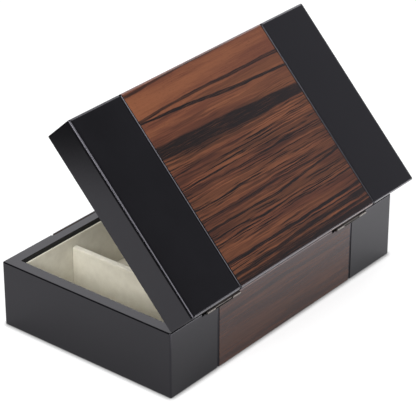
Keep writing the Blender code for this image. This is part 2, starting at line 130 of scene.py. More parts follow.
class ShellSizes(bpy.types.PropertyGroup):
    """Sizes of the lacquered shells and their veneered band"""

    half_width: a_length("Half width", "Middle of the box to either end", WALL_HIGH.x)
    half_depth: a_length("Half depth", "Middle of the box to its front or rear", REAR_HIGH.y)
    foot: a_length("Foot", "Level of the walls' lower edges", WALL_LOW.z)
    rim: a_length("Rim", "Level of the base's rim", WALL_HIGH.z)
    lid_rim: a_length("Lid rim", "Level of the closed lid's rim", LID_LOW.z)
    lid_top: a_length("Lid top", "Level of the closed lid's top", LID_BOARD_HIGH.z)
    lid_ceiling: a_length("Lid ceiling", "Level of the lid board's inner face", LID_BOARD_LOW.z)
    wall: a_length("Wall", "Thickness of the walls", 0.011)
    rebate: a_length("Rebate", "Width of the rebate that holds the bottom board", 0.005)
    corner_round: a_length("Corner round", "Radius of the upright corners", 0.0014)
    crown_round: a_length("Crown round", "Radius of the lid's upper front and rear edges", 0.0022)
    end_round: a_length("End round", "Radius of the lid's upper edges at its ends", 0.0034)
    rim_round: a_length("Rim round", "Radius of the outer edge of the base's rim", 0.0011)
    foot_round: a_length("Foot round", "Radius of the foot's outer edges", 0.0005)
    lid_rim_round: a_length("Lid rim round", "Radius of the lid rim's outer edges", 0.0005)
    inner_round: a_length("Inner round", "Radius of the rims' inner edges", 0.0005)
    band_half: a_length("Band", "Middle of the box to the bottom of either groove", 0.0905)
    groove_depth: a_length("Groove depth", "Depth of the round grooves, and half their width", 0.0013)
    veneer: a_length("Veneer", "Thickness of the veneered band", 0.0015)
    fit: a_length("Fit", "Gap between pieces that touch", 0.0003)
    open_angle: FloatProperty(
        name="Opening", description="How far the lid stands open", default=STANDS_OPEN, subtype="ANGLE"
    )


class LiningSizes(bpy.types.PropertyGroup):
    """Sizes of the suede linings, the dividers and the felt"""

    roll: a_length("Roll", "Radius of the wall linings' rolled edges", 0.0006)
    divider_roll: a_length("Divider roll", "Radius of the dividers' rolled edges", 0.0014)
    lowered: a_length("Lowered", "How far the base's linings end below their solids' tops", 0.0009)
    crown: a_length("Crown", "How far the lid's pad swells", 0.0005)
    crown_margin: a_length("Crown margin", "Width over which the lid's pad swells", 0.009)
    unevenness: a_length("Unevenness", "How far the suede wanders from flat", 0.00025)
    wander: a_length("Wander", "Distance over which the suede wanders", 0.022)
    divisions: IntProperty(
        name="Divisions", description="Cuts across each panel that let it wander", default=14, min=1, max=40
    )


class HingeSizes(bpy.types.PropertyGroup):
    """Sizes of the hinges and of the mortises that seat them"""

    place: a_length("Place", "Middle of the box to the middle of a hinge", (LEAF_LOW.x + LEAF_HIGH.x) / 2)
    half_length: a_length("Half length", "Half the length of a hinge", (LEAF_HIGH.x - LEAF_LOW.x) / 2)
    leaf: a_length("Leaf", "Thickness of the leaves", 0.0012)
    inner_edge: a_length("Inner edge", "Middle of the box to the leaves' inner edges", LEAF_LOW.y)
    outer_edge: a_length("Outer edge", "Middle of the box to where the leaves bend down", 0.0890)
    end_knuckle: a_length("End knuckle", "Length of the base leaf's knuckles", 0.010)
    knuckle_gap: a_length("Knuckle gap", "Gap between knuckles", 0.0004)
    strip: a_length("Strip", "Thickness of the leaf where it rolls round the pin", 0.0008)
    pin: a_length("Pin", "Radius of the pins", 0.00085)
    barrel: a_length("Barrel", "Radius of the knuckles", 0.0017)
    run_out: a_length("Run-out", "Length of the router's run-out beside a base mortise", 0.0033)
    run_out_depth: a_length("Run-out depth", "Depth of the run-out below the rim", 0.0026)
    run_out_inset: a_length("Run-out inset", "How far the run-out goes into the wall", 0.0024)


class Colours(bpy.types.PropertyGroup):
    """Colours of the finishes"""

    lacquer: a_colour("Lacquer", "Satin black lacquer", "#0b0b0c")
    wood_light: a_colour("Veneer, light", "The veneer's light bands", "#885336")
    wood_mid: a_colour("Veneer, middle", "The veneer's middle tone", "#6a3d2a")
    wood_dark: a_colour("Veneer, dark", "The veneer's dark streaks", "#18120f")
    suede: a_colour("Suede", "Cream suede of the linings", "#d0ccbd")
    suede_shade: a_colour("Suede, brushed", "Suede where its nap lies the other way", "#c6c1b2")
    stain: a_colour("Stain", "Black stain on the walls' inner faces", "#0c0c0c")
    felt: a_colour("Felt", "Black felt under the box", "#17171a")
    board: a_colour("Bottom board", "Painted fibreboard", "#1b1a19")
    # The hinges' colour is darkened well below bright nickel: painted shade for the dim surroundings that
    # their metal mirrors.
    nickel: a_colour("Hinges", "Nickel-plated steel", "#6c6866")


def sizes():
    return bpy.context.scene.organiser_shell


def linings():
    return bpy.context.scene.organiser_lining


def hinges():
    return bpy.context.scene.organiser_hinge


def colours():
    return bpy.context.scene.organiser_colours


def add_node(tree, kind, inputs=None, **settings):
    """Adds a node, sets it, and gives each input a value or a link."""
    node = tree.nodes.new(kind)
    for name, value in settings.items():
        setattr(node, name, value)
    for name, value in (inputs or {}).items():
        if isinstance(value, bpy.types.NodeSocket):
            tree.links.new(value, node.inputs[name])
        else:
            node.inputs[name].default_value = value
    return node


def calculated(tree, operation, *values):
    """The result of a calculation on values and links."""
    return add_node(tree, "ShaderNodeMath", dict(enumerate(values)), operation=operation).outputs[0]


def noise(tree, place, scale, detail, roughness, distortion=0.0):
    """A noise pattern's value at a place, its scale in cells to a unit of the place."""
    inputs = {"Vector": place, "Scale": scale, "Detail": detail, "Roughness": roughness}
    return add_node(tree, "ShaderNodeTexNoise", {**inputs, "Distortion": distortion}).outputs[0]


def ranged(tree, value, low, high, start, end, kind="LINEAR"):
    """A value that runs from start to end while another runs from low to high."""
    inputs = {"Value": value, 1: low, 2: high, 3: start, 4: end}
    return add_node(tree, "ShaderNodeMapRange", inputs, interpolation_type=kind).outputs[0]


def mixed(tree, share, *ends):
    """A colour between two, each given as red, green and blue or as a link."""
    first, second = (end if isinstance(end, bpy.types.NodeSocket) else (*end, 1) for end in ends)
    return add_node(tree, "ShaderNodeMix", {0: share, 6: first, 7: second}, data_type="RGBA").outputs[2]


def multiplied(colour, *factors):
    """A colour with its red, green and blue multiplied by one factor, or by one each."""
    return [share * factor for share, factor in zip(colour, factors * 3)]


def start_material(name, roughness, metallic=0.0, scale=(1000, 1000, 1000)):
    """A material with its shader, and its object coordinates in millimetres or to another scale."""
    material = bpy.data.materials.new(name)
    material.use_nodes = True
    tree = material.node_tree
    shader = tree.nodes["Principled BSDF"]
    shader.inputs["Roughness"].default_value = roughness
    shader.inputs["Metallic"].default_value = metallic
    place = add_node(tree, "ShaderNodeTexCoord").outputs["Object"]
    scaled = add_node(tree, "ShaderNodeMapping", {"Vector": place, "Scale": scale}).outputs[0]
    return material, tree, shader, scaled


def colour_by(tree, shader, share, first, second):
    """Gives a shader a colour between two."""
    tree.links.new(mixed(tree, share, first, second), shader.inputs["Base Color"])


def add_bump(tree, shader, height, depth):
    """Raises a height from 0 to 1 to a depth in millimetres."""
    bump = add_node(tree, "ShaderNodeBump", {"Height": height, "Distance": depth / 1000, "Strength": 1.0})
    tree.links.new(bump.outputs[0], shader.inputs["Normal"])


# The faint violet that the satin coat gives to its reflections
COAT_TINT = (0.89, 0.86, 0.98, 1)


def satin_black_lacquer():
    """Polyurethane lacquer, sprayed black and rubbed to a satin.

    It mirrors softly, with the orange peel of a sprayed coat 2 mm across and a polish that varies
    over a few centimetres.
    """
    material, tree, shader, place = start_material("satin_black_lacquer", 0.2)
    shader.inputs["Specular Tint"].default_value = COAT_TINT
    cloud = noise(tree, place, 1 / 35, 3.0, 0.5)
    tree.links.new(ranged(tree, cloud, 0.3, 0.7, 0.12, 0.17), shader.inputs["Roughness"])
    deep = colours().lacquer
    colour_by(tree, shader, cloud, deep, multiplied(deep, 1.5, 1.5, 1.6))
    add_bump(tree, shader, noise(tree, place, 1 / 2.2, 2.0, 0.4), 0.004)
    return material


def flat_black_stain():
    """Black stain on the walls' inner faces, left without lacquer, its grain in lines 0.8 mm apart."""
    material, tree, shader, place = start_material("flat_black_stain", 0.8, scale=(120, 120, 1250))
    grain = noise(tree, place, 1.0, 3.0, 0.6)
    dark = colours().stain
    colour_by(tree, shader, grain, dark, multiplied(dark, 1.8))
    add_bump(tree, shader, grain, 0.02)
    return material


# Dark streaks of the lid's veneer: millimetres from its middle, at the band's +X edge, at its
# middle and at its -X edge, half thickness at the three, and how dark
LID_STREAKS = (
    (-86.0, -88.5, -90.0, 1.1, 0.7, 0.1, 0.75),
    (-63.2, -64.3, -63.2, 1.0, 1.2, 1.4, 0.85),
    (-61.5, -54.5, -49.5, 0.8, 1.5, 1.0, 0.95),
    (-56.5, -58.5, -57.0, 0.1, 2.2, 3.6, 0.45),
    (-44.0, -44.0, -43.5, 0.1, 0.1, 5.0, 0.40),
    (-33.0, -29.5, -27.0, 5.2, 6.6, 4.0, 1.00),
    (-24.5, -22.0, -24.0, 0.6, 2.0, 0.2, 0.85),
    (-21.0, -18.5, -17.0, 0.5, 1.2, 0.2, 0.70),
    (-10.0, -5.5, -4.0, 0.5, 0.9, 0.7, 0.75),
    (-6.5, -3.0, 0.5, 0.6, 1.3, 2.5, 0.60),
    (4.5, 7.0, 7.5, 1.6, 1.3, 2.6, 0.65),
    (13.5, 15.0, 18.0, 0.8, 0.9, 1.6, 0.55),
    (22.0, 24.5, 25.5, 0.6, 0.8, 1.0, 0.60),
    (30.0, 31.0, 31.5, 1.2, 0.9, 1.1, 0.85),
    (39.5, 40.2, 33.5, 0.9, 1.0, 0.9, 0.95),
    (43.5, 44.0, 42.5, 2.6, 2.0, 3.4, 0.65),
    (57.0, 54.0, 52.0, 0.3, 0.5, 0.9, 0.45),
    (68.0, 68.6, 67.0, 1.1, 1.2, 1.1, 1.00),
    (73.5, 73.0, 72.5, 0.4, 0.9, 0.8, 0.60),
    (80.5, 76.8, 74.8, 1.6, 1.8, 2.0, 0.95),
    (84.5, 82.5, 80.5, 1.2, 1.6, 1.2, 0.90),
    (88.5, 87.0, 86.0, 2.6, 3.0, 3.0, 1.00),
)

# The base's veneer, in millimetres above the foot
BASE_STREAKS = (
    (6.0, 7.0, 5.0, 1.2, 2.0, 1.0, 0.74),
    (13.0, 11.0, 12.0, 1.4, 1.0, 2.0, 0.72),
    (24.0, 27.0, 26.0, 2.5, 1.5, 1.5, 0.70),
    (37.0, 34.0, 36.0, 1.0, 2.4, 1.6, 0.76),
    (45.5, 47.5, 44.0, 1.6, 2.2, 1.0, 0.85),
    (55.0, 53.0, 54.0, 1.2, 1.0, 2.0, 0.72),
)


def striped_veneer(name, streaks, on_lid, heartwood_and_shade, contrast):
    """Sliced ebony veneer, its grain along X, open pores filled and sprayed with satin clear coat.

    Orange-brown wood runs between near-black streaks that wander a millimetre over the band. Lines
    1.5 mm apart follow the grain in groups, and vessels show as dark strokes 0.4 mm wide and a few
    millimetres long. heartwood is how dark the wood is throughout, and on the base it also carries
    painted shade for the weaker light on the box's sides. contrast is how dark its lines are, kept
    low on the base, where the faint lines stand in for the reflection that washes the grain out.
    """
    material, tree, shader, place = start_material(name, 0.17)
    shader.inputs["Specular Tint"].default_value = COAT_TINT

    def calculate(operation, *values):
        return calculated(tree, operation, *values)

    def graded(value, low, high, start, end):
        return ranged(tree, value, low, high, start, end, "SMOOTHSTEP")

    s = sizes()
    if on_lid:
        mapping = place.node
        shift = HINGE_AXIS - Matrix.Rotation(s.open_angle, 3, "X") @ HINGE_AXIS
        mapping.inputs["Rotation"].default_value = (s.open_angle, 0, 0)
        mapping.inputs["Location"].default_value = shift * 1000
    along, depth, height = add_node(tree, "ShaderNodeSeparateXYZ", {0: place}).outputs
    if on_lid:
        below = calculate("SUBTRACT", s.lid_top * 1000, height)
        across = calculate("MULTIPLY_ADD", calculate("SIGN", depth), below, depth)
    else:
        across = height

    def drawn_out(long, wide, detail, roughness, seed, where):
        """Noise with cells so many millimetres long along the grain and wide across it."""
        cells = {0: calculate("DIVIDE", along, long), 1: calculate("DIVIDE", where, wide), 2: float(seed)}
        vector = add_node(tree, "ShaderNodeCombineXYZ", cells).outputs[0]
        return noise(tree, vector, 1.0, detail, roughness)

    def strayed(value, pattern, reach):
        """A value moved by up to half a reach either way, as a pattern says."""
        return calculate("MULTIPLY_ADD", calculate("SUBTRACT", pattern, 0.5), reach, value)

    shifted = strayed(across, drawn_out(48.0, 18.0, 2.0, 0.5, 3, across), 3.2)
    shifted = strayed(shifted, drawn_out(13.0, 5.0, 2.0, 0.5, 8, across), 1.1)
    fibre = drawn_out(30.0, 0.7, 4.0, 0.65, 5, shifted)

    edge = s.band_half * 1000
    to_near = ranged(tree, along, 0.0, edge, 0.0, 1.0)
    to_far = ranged(tree, along, 0.0, -edge, 0.0, 1.0)

    def run(at_near, at_middle, at_far):
        """A value that runs evenly from the band's near edge to its middle, and on to its far edge."""
        half_run = calculate("MULTIPLY_ADD", to_near, at_near - at_middle, at_middle)
        return calculate("MULTIPLY_ADD", to_far, at_far - at_middle, half_run)

    darkness = 0.0
    for *places_and_halves, strength in streaks:
        centre = run(*places_and_halves[:3])
        half = run(*places_and_halves[3:])
        ragged = strayed(calculate("ABSOLUTE", calculate("SUBTRACT", shifted, centre)), fibre, 1.4)
        mask = graded(calculate("DIVIDE", ragged, half), 0.85, 1.5, strength, 0.0)
        darkness = calculate("MAXIMUM", mask, darkness)

    # Painted light: towards the lid's front edge the figure fades to an eighth, so that the top reads
    # lighter there, as the light falls off from the front edge to the rear.
    painted_front_light = graded(across, -66.0, -20.0, 0.12, 1.0) if on_lid else 1.0
    groups = graded(drawn_out(90.0, 11.0, 2.0, 0.5, 29, shifted), 0.34, 0.56, 0.6, 1.0)
    lines = graded(drawn_out(75.0, 1.6, 3.0, 0.62, 11, shifted), 0.40, 0.58, 0.0, 1.0)
    darkest = heartwood_and_shade + 0.45 * contrast
    veil = graded(drawn_out(120.0, 6.0, 3.0, 0.6, 13, shifted), 0.34, 0.62, heartwood_and_shade, darkest)
    fine_lines = calculate("MULTIPLY", lines, calculate("MULTIPLY", groups, contrast))
    figure = calculate("MULTIPLY", calculate("MAXIMUM", fine_lines, veil), painted_front_light)
    darkness = calculate("MAXIMUM", darkness, figure)
    darkness = calculate("MULTIPLY", darkness, graded(fibre, 0.28, 0.60, 1.0 - 0.22 * contrast, 1.08))
    tone = calculate("MULTIPLY_ADD", fibre, 0.5, drawn_out(140.0, 12.0, 3.0, 0.55, 17, shifted))
    tone = graded(tone, 0.62, 0.92, 0.0, 1.0)
    wood = mixed(tree, tone, colours().wood_light, colours().wood_mid)
    vessels = graded(drawn_out(4.0, 0.42, 1.0, 0.5, 23, shifted), 0.60, 0.72, 0.0, 0.42)
    darkness = calculate("MINIMUM", calculate("MAXIMUM", darkness, vessels), 1.0)
    colour_by(tree, shader, darkness, wood, colours().wood_dark)
    add_bump(tree, shader, calculate("MULTIPLY", vessels, -1.0), 0.006)
    return material


# The base's copy of the veneer is darker and fainter-lined than the lid's: painted shade for the box's
# sides, which get less light, and fainter lines standing in for the reflection that washes their grain out.
def base_veneer():
    return striped_veneer("base_veneer", BASE_STREAKS, on_lid=False, heartwood_and_shade=0.58, contrast=0.35)


def lid_veneer():
    return striped_veneer("lid_veneer", LID_STREAKS, on_lid=True, heartwood_and_shade=0.09, contrast=1.0)


def brushed_suede():
    """Microfibre suede glued over card, its short nap brushed this way and that.

    The nap gives a soft mottle 5 to 10 mm across, and single tufts 0.3 mm wide, drawn 0.7 mm wide
    so that they show.
    """
    material, tree, shader, place = start_material("brushed_suede", 0.92)
    shader.inputs["Sheen Weight"].default_value = 0.25
    shader.inputs["Sheen Roughness"].default_value = 0.5
    mottle = ranged(tree, noise(tree, place, 1 / 9, 5.0, 0.62), 0.34, 0.66, 0.0, 1.0)
    colour_by(tree, shader, mottle, colours().suede, colours().suede_shade)
    add_bump(tree, shader, noise(tree, place, 1 / 0.7, 3.0, 0.6), 0.12)
    return material


def pressed_black_felt():
    """Black wool felt, its matted fibres 0.4 mm across, drawn 1 mm across so that they show."""
    material, tree, shader, place = start_material("pressed_black_felt", 0.96)
    shader.inputs["Sheen Weight"].default_value = 0.4
    fibres = noise(tree, place, 1.0, 4.0, 0.7, distortion=1.2)
    dark = colours().felt
    colour_by(tree, shader, fibres, dark, multiplied(dark, 2.2))
    add_bump(tree, shader, fibres, 0.2)
    return material


def painted_fibreboard():
    """Fibreboard under one coat of flat black paint, its fibres raised into specks 1.2 mm across."""
    material, tree, shader, place = start_material("painted_fibreboard", 0.62)
    specks = noise(tree, place, 1 / 1.2, 4.0, 0.65)
    dark = colours().board
    colour_by(tree, shader, specks, dark, multiplied(dark, 1.8))
    add_bump(tree, shader, specks, 0.03)
    return material


def nickel_plated_steel():
    """Steel plated with nickel over a brushed face, its lines 0.3 mm apart along the hinge."""
    material, tree, shader, place = start_material("nickel_plated_steel", 0.3, 1.0, (60, 3300, 3300))
    lines = noise(tree, place, 1.0, 3.0, 0.6)
    # The colour here is darkened below bright nickel, as painted shade for the dim surroundings that the
    # hinges mirror.
    bright = colours().nickel
    colour_by(tree, shader, lines, bright, multiplied(bright, 0.7, 0.68, 0.64))
    tree.links.new(ranged(tree, lines, 0.0, 1.0, 0.22, 0.42), shader.inputs["Roughness"])
    add_bump(tree, shader, lines, 0.006)
    return material


def finish(maker):
    """The material that a maker makes, made the first time it is asked for."""
    name = maker.__name__
    return bpy.data.materials.get(name) or maker()


def choose(piece):
    """Makes one object the only selected one, and the active one."""
    bpy.ops.object.select_all(action="DESELECT")
    bpy.context.view_layer.objects.active = piece
    piece.select_set(True)


def start_block(name, low, high):
    """A box between two corners, its place in its mesh, from which a piece is shaped."""
    low = Vector(low)
    high = Vector(high)
    bpy.ops.object.select_all(action="DESELECT")
    bpy.ops.mesh.primitive_cube_add(size=1, location=(low + high) / 2, scale=high - low)
    piece = bpy.context.object
    piece.name = name
    piece.data.name = name
    bpy.ops.object.transform_apply(location=True, rotation=True, scale=True)
    return piece


def measured(mesh, kind):
    """Each vertex, edge or face with its middle and its direction or normal."""
    if kind == "VERT":
        return [(item, item.co, item.normal) for item in mesh.verts]
    if kind == "EDGE":
        ends = [(item, item.verts[0].co, item.verts[1].co) for item in mesh.edges]
        return [(item, (start + end) / 2, (end - start).normalized()) for item, start, end in ends]
    return [(item, item.calc_center_median(), item.normal) for item in mesh.faces]


def shape(piece, kind, test, *steps):
    """Selects vertices, edges or faces by their middle and direction, and runs edit steps on them.

    A step is an edit-mode operator and its settings.
    """
    choose(piece)
    bpy.ops.object.mode_set(mode="EDIT")
    bpy.ops.mesh.select_mode(type=kind)
    bpy.ops.mesh.select_all(action="DESELECT")
    mesh = bmesh.from_edit_mesh(piece.data)
    mesh.normal_update()
    chosen = [item for item, middle, direction in measured(mesh, kind) if test(middle, direction)]
    if not chosen:
        raise RuntimeError(f"nothing was selected on {piece.name}")
    for item in chosen:
        item.select_set(True)
    mesh.select_flush_mode()
    bmesh.update_edit_mesh(piece.data)
    for operator, settings in steps:
        operator(**settings)
    bpy.ops.object.mode_set(mode="OBJECT")


def everything(middle, direction):
    return True


def near(a, b):
    return abs(a - b) < SAME


def cut_across(piece, places, along=X):
    """Cuts a piece right through at places along an axis."""
    for place in places:
        settings = {"plane_co": along * place, "plane_no": along, "threshold": SAME / 10}
        shape(piece, "FACE", everything, (bpy.ops.mesh.bisect, settings))


def apply_modifier(piece, kind, **settings):
    """Adds a modifier, sets it and applies it."""
    choose(piece)
    modifier = piece.modifiers.new(kind.lower(), kind)
    for name, value in settings.items():
        setattr(modifier, name, value)
    bpy.ops.object.modifier_apply(modifier=modifier.name)


def round_over(piece, rounds, segments, profile=0.5):
    """Rounds edges in one go, each test's edges to a radius of their own.

    A profile of 0.5 gives a round, and one below 0.25 a hollow.
    """
    widest = max(radius for _, radius in rounds)
    weights = piece.data.attributes.new("bevel_weight_edge", "FLOAT", "EDGE")
    mesh = bmesh.new()
    mesh.from_mesh(piece.data)
    values = []
    for _, middle, direction in measured(mesh, "EDGE"):
        radius = max((radius for test, radius in rounds if test(middle, direction)), default=0)
        values.append(radius / widest)
    mesh.free()
    weights.data.foreach_set("value", values)
    apply_modifier(
        piece,
        "BEVEL",
        limit_method="WEIGHT",
        offset_type="OFFSET",
        width=widest,
        segments=segments,
        profile=profile,
        use_clamp_overlap=False,
    )
    left = piece.data.attributes.get("bevel_weight_edge")
    if left:
        piece.data.attributes.remove(left)


def cut_out(piece, cutters):
    """Takes the cutters out of a piece, and removes them."""
    for cutter in cutters:
        apply_modifier(piece, "BOOLEAN", operation="DIFFERENCE", object=cutter, solver="EXACT")
        bpy.data.objects.remove(cutter, do_unlink=True)


def swing_open(piece):
    """Turns a piece modelled on the closed lid to where the open lid has it."""
    choose(piece)
    turn = Matrix.Rotation(-sizes().open_angle, 4, "X")
    piece.matrix_world = Matrix.Translation(HINGE_AXIS) @ turn @ Matrix.Translation(-HINGE_AXIS)
    bpy.ops.object.transform_apply(location=True, rotation=True, scale=True)


def turn_outward(piece):
    """Turns a piece's faces over if the volume that they enclose is negative."""
    mesh = bmesh.new()
    mesh.from_mesh(piece.data)
    volume = mesh.calc_volume(signed=True)
    mesh.free()
    if volume < 0:
        shape(piece, "FACE", everything, (bpy.ops.mesh.flip_normals, {}))


def finish_piece(piece, maker, body, nodes, smooth_below=35):
    """Evens out the normals, and gives a piece its finish and its place in the object."""
    shape(
        piece,
        "VERT",
        everything,
        (bpy.ops.mesh.remove_doubles, {"threshold": SAME / 10}),
        (bpy.ops.mesh.normals_make_consistent, {"inside": False}),
    )
    turn_outward(piece)
    choose(piece)
    bpy.ops.object.shade_smooth_by_angle(angle=math.radians(smooth_below))
    apply_modifier(piece, "WEIGHTED_NORMAL", keep_sharp=True)
    if body == "lid":
        swing_open(piece)
    piece.data.materials.clear()
    piece.data.materials.append(finish(maker))
    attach(piece, body)
    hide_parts(*nodes)
    return piece


def add_finish(piece, maker, test):
    """Gives some faces of a finished piece a second finish."""
    piece.data.materials.append(finish(maker))
    piece.active_material_index = len(piece.data.materials) - 1
    shape(piece, "FACE", test, (bpy.ops.object.material_slot_assign, {}))


def lacquer_edges(sheet, rim):
    """Sprays a veneer sheet's hollows of the grooves, and its edge at the rim, with black lacquer.

    rim is the way that the rim looks.
    """

    def sprayed(middle, direction):
        return abs(direction.x) > SQUARE or direction.dot(rim) > TOWARDS

    add_finish(sheet, satin_black_lacquer, sprayed)


def stain_inside(shell, angle):
    """Stains the inner faces of a shell's walls, which stands turned open by an angle."""
    s = sizes()
    close = Matrix.Rotation(angle, 3, "X")

    def inner(middle, direction):
        spot = HINGE_AXIS + close @ (middle - HINGE_AXIS)
        on_x = abs(spot.x) < s.half_width - s.wall + SAME
        on_y = abs(spot.y) < s.half_depth - s.wall + SAME
        return on_x and on_y and abs((close @ direction).z) < SQUARE

    add_finish(shell, flat_black_stain, inner)


def facing(normal, level):
    """A test for faces that look up or down at a level."""

    def test(middle, direction):
        return direction.dot(normal) > ALONG and near(middle.z, level)

    return test


def upright_corner(middle, direction):
    """Whether an edge is one of the upright outside corners."""
    s = sizes()
    outside = near(abs(middle.x), s.half_width) and near(abs(middle.y), s.half_depth)
    return abs(direction.z) > ALONG and outside


def level_edge(level, inset=0.0):
    """A test for the edges of the rectangle that lies inset from the box's outline at a level."""

    def test(middle, direction):
        s = sizes()
        half_x = s.half_width - inset
        half_y = s.half_depth - inset
        on_end = near(abs(middle.x), half_x) and abs(middle.y) < half_y + SAME
        on_side = near(abs(middle.y), half_y) and abs(middle.x) < half_x + SAME
        return near(middle.z, level) and abs(direction.z) < SQUARE and (on_end or on_side)

    return test


# A groove's black side in steps: how far from its bottom line, and how deep, as shares of its depth
GROOVE_SIDE = ((0.93, 0.36), (0.72, 0.70), (0.40, 0.92), (0.0, 1.0))


def sink_band(shell, top=False):
    """Sinks the grooves' black sides and the veneer's seat into a shell's front, rear and top."""
    s = sizes()
    steps = []
    sunk = 0
    for out, depth in GROOVE_SIDE:
        steps.append((s.band_half + out * s.groove_depth, (depth - sunk) * s.groove_depth))
        sunk = depth
    steps.append((s.band_half - s.fit / 2, s.veneer + s.fit - s.groove_depth))
    stations = [s.band_half + s.groove_depth] + [half for half, _ in steps]
    cut_across(shell, [side * station for station in stations for side in (-1, 1)])
    deepest = s.half_depth - s.rim_round - s.veneer - s.fit
    crown = s.lid_top - s.crown_round - s.fit if top else math.inf
    for half, depth in steps:
        for side in (-1, 1):

            def on_side(middle, direction):
                return abs(middle.x) < half + SAME and side * middle.y > deepest and middle.z < crown

            sink = {"value": (0, -side * depth, 0)}
            shape(shell, "VERT", on_side, (bpy.ops.transform.translate, sink))
        if top:

            def on_crown(middle, direction):
                return abs(middle.x) < half + SAME and middle.z > crown

            shape(shell, "VERT", on_crown, (bpy.ops.transform.shrink_fatten, {"value": -depth}))


def mortise_cutters(rim, side):
    """A stepped block for each hinge: the leaf's seat, and behind it half the barrel's.

    side is -1 for the base, whose rim is cut downwards, and 1 for the lid.
    """
    h = hinges()
    fit = sizes().fit
    leaf_floor = rim + side * (h.leaf + fit)
    barrel_floor = HINGE_AXIS.z + side * (h.barrel + fit)
    barrel_edge = HINGE_AXIS.y - h.barrel - fit
    cutters = []
    for hinge in (-1, 1):
        start = hinge * h.place - h.half_length - fit
        end = hinge * h.place + h.half_length + fit
        low, high = sorted((leaf_floor, rim - side * PAST))
        cutter = start_block(
            "mortise", (start, h.inner_edge - fit, low), (end, sizes().half_depth + PAST, high)
        )
        cut_across(cutter, [barrel_edge], Y)

        def under_barrel(middle, direction):
            return near(middle.z, leaf_floor) and middle.y > barrel_edge

        step = {"TRANSFORM_OT_translate": {"value": (0, 0, barrel_floor - leaf_floor)}}
        shape(cutter, "FACE", under_barrel, (bpy.ops.mesh.extrude_region_move, step))
        cutters.append(cutter)
    return cutters


def run_out_cutters():
    """The router's way out of each base mortise, past the barrel's +X end."""
    h = hinges()
    s = sizes()
    cutters = []
    for hinge in (-1, 1):
        end = hinge * h.place + h.half_length
        low = (end, s.half_depth - h.run_out_inset, s.rim - h.run_out_depth)
        high = (end + h.run_out, s.half_depth + PAST, s.rim + PAST)
        cutters.append(start_block("run_out", low, high))
    return cutters


class BaseShell(bpy.types.Operator):
    """Base: four walls lacquered as one, with the band's seat, its grooves and the hinge mortises"""

    bl_idname = "organiser.base_shell"
    bl_label = "Base shell"

    def execute(self, context):
        s = sizes()
        low = (-s.half_width, -s.half_depth, s.foot)
        shell = start_block("base_shell", low, (s.half_width, s.half_depth, s.rim))
        ledge = FLOOR_LINING_LOW.z
        rise = {"TRANSFORM_OT_translate": {"value": (0, 0, ledge - s.foot)}}
        shape(
            shell,
            "FACE",
            facing(-Z, s.foot),
            (bpy.ops.mesh.inset, {"thickness": s.wall - s.rebate}),
            (bpy.ops.mesh.extrude_region_move, rise),
            (bpy.ops.mesh.inset, {"thickness": s.rebate}),
            (bpy.ops.mesh.delete, {"type": "FACE"}),
        )
        shape(
            shell,
            "FACE",
            facing(Z, s.rim),
            (bpy.ops.mesh.inset, {"thickness": s.wall}),
            (bpy.ops.mesh.delete, {"type": "FACE"}),
        )
        rim_hole = level_edge(s.rim, s.wall)
        ledge_hole = level_edge(ledge, s.wall)

        def hole(middle, direction):
            return rim_hole(middle, direction) or ledge_hole(middle, direction)

        shape(shell, "EDGE", hole, (bpy.ops.mesh.bridge_edge_loops, {}))
        rounds = (
            (upright_corner, s.corner_round),
            (level_edge(s.rim), s.rim_round),
            (level_edge(s.foot), s.foot_round),
            (rim_hole, s.inner_round),
        )
        round_over(shell, rounds, 6)
        sink_band(shell)
        cut_out(shell, mortise_cutters(s.rim, -1) + run_out_cutters())
        walls = [f"base_{side}_wall" for side in ("right", "left", "front", "rear")]
        finish_piece(shell, satin_black_lacquer, "base", walls)
        stain_inside(shell, 0)
        return {"FINISHED"}


class BaseVeneers(bpy.types.Operator):
    """Base: the band's front and rear sheets, each with its sides of the grooves"""

    bl_idname = "organiser.base_veneers"
    bl_label = "Base veneers"

    def execute(self, context):
        s = sizes()
        half = s.band_half - s.fit / 2

        def groove_edge(middle, direction):
            return abs(direction.z) > ALONG and near(abs(middle.y), s.half_depth)

        def outer_edge(level):
            def test(middle, direction):
                outside = near(middle.z, level) and near(abs(middle.y), s.half_depth)
                return outside and abs(direction.x) > ALONG

            return test

        for name, side in (("front", -1), ("rear", 1)):
            near_y, far_y = sorted((side * s.half_depth, side * (s.half_depth - s.veneer)))
            sheet = start_block(f"base_{name}_band", (-half, near_y, s.foot), (half, far_y, s.rim))
            round_over(sheet, ((groove_edge, s.groove_depth),), HOLLOW_SEGMENTS, HOLLOW)
            round_over(sheet, ((outer_edge(s.rim), s.rim_round), (outer_edge(s.foot), s.foot_round)), 6)
            if side == 1:
                cut_out(sheet, mortise_cutters(s.rim, -1) + run_out_cutters())
            finish_piece(sheet, base_veneer, "base", [f"base_{name}_veneer"])
            lacquer_edges(sheet, Z)
        return {"FINISHED"}


